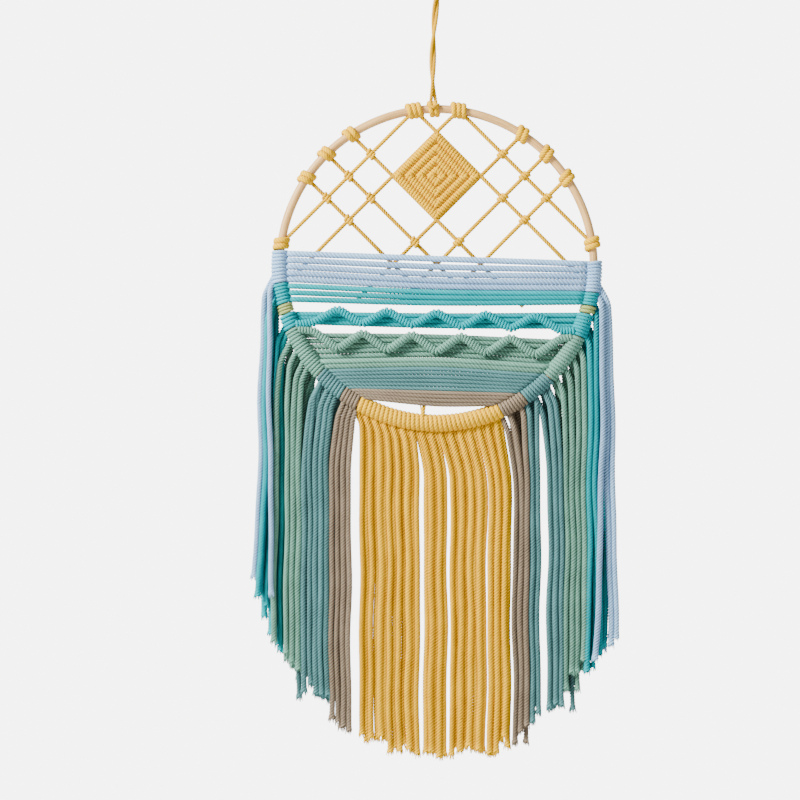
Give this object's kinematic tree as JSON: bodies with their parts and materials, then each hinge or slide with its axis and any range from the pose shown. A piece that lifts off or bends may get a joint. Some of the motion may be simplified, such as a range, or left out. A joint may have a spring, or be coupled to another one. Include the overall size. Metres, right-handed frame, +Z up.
{
  "type": "macrame wall hanging and wooden hoop",
  "caption": "Round macrame wall hanging: a wooden hoop with a golden diamond net, bands of coloured cotton cord and a long straight fringe, on a twisted hanging cord.",
  "frame": {"origin": "where the nail bears, at the top of the hanging loop", "axes": "+Z up along the hanging cord and the fringe, +X to the viewer's right across the hoop, +Y into the wall; the front faces -Y"},
  "size_m": [0.3361, 0.0169, 0.7466],
  "materials": {
    "beech": "smooth pale beech, unvarnished",
    "gold_cotton": "matte, tightly plied cotton",
    "lavender_cotton": "matte, tightly plied cotton",
    "turquoise_cotton": "matte, tightly plied cotton",
    "sage_cotton": "matte, tightly plied cotton",
    "dusty_teal_cotton": "matte, tightly plied cotton",
    "taupe_cotton": "matte, tightly plied cotton",
    "olive_cotton": "matte, tightly plied cotton"
  },
  "bodies": {
    "root": {"hoop": "beech", "hanging_loop": "gold_cotton", "golden_net": "gold_cotton", "golden_fringe": "gold_cotton", "lavender_cords": "lavender_cotton", "turquoise_cords": "turquoise_cotton", "turquoise_band": "turquoise_cotton", "sage_cords": "sage_cotton", "dusty_teal_cords": "dusty_teal_cotton", "taupe_cords": "taupe_cotton", "olive_tie_left": "olive_cotton", "olive_tie_right": "olive_cotton"}
  },
  "joints": []
}
